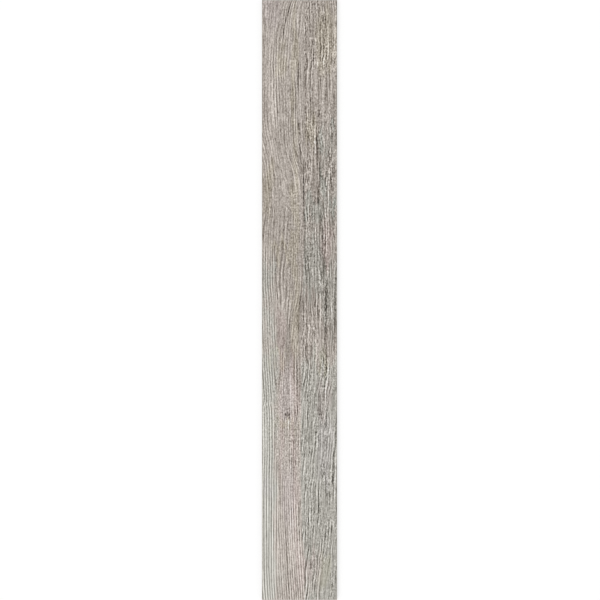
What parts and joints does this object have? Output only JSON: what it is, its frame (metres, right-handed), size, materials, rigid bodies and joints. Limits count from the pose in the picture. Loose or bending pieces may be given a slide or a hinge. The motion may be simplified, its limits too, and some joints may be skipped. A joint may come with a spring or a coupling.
{
  "type": "wood look porcelain plank tile",
  "caption": "Long narrow porcelain plank tile with a weathered wood grain face, ground bevel edges and a pressed keying grid on its back.",
  "frame": {"origin": "middle of the plane that the back ribs stand on", "axes": "+Z out of the printed face, +Y along the plank towards the top of the picture, +X across it"},
  "size_m": [0.15, 1.2, 0.01],
  "materials": {
    "printed_porcelain": "matt printed glaze in weathered grey wood on a grey-beige stoneware body"
  },
  "bodies": {
    "root": {"plank_tile": "printed_porcelain"}
  },
  "joints": []
}
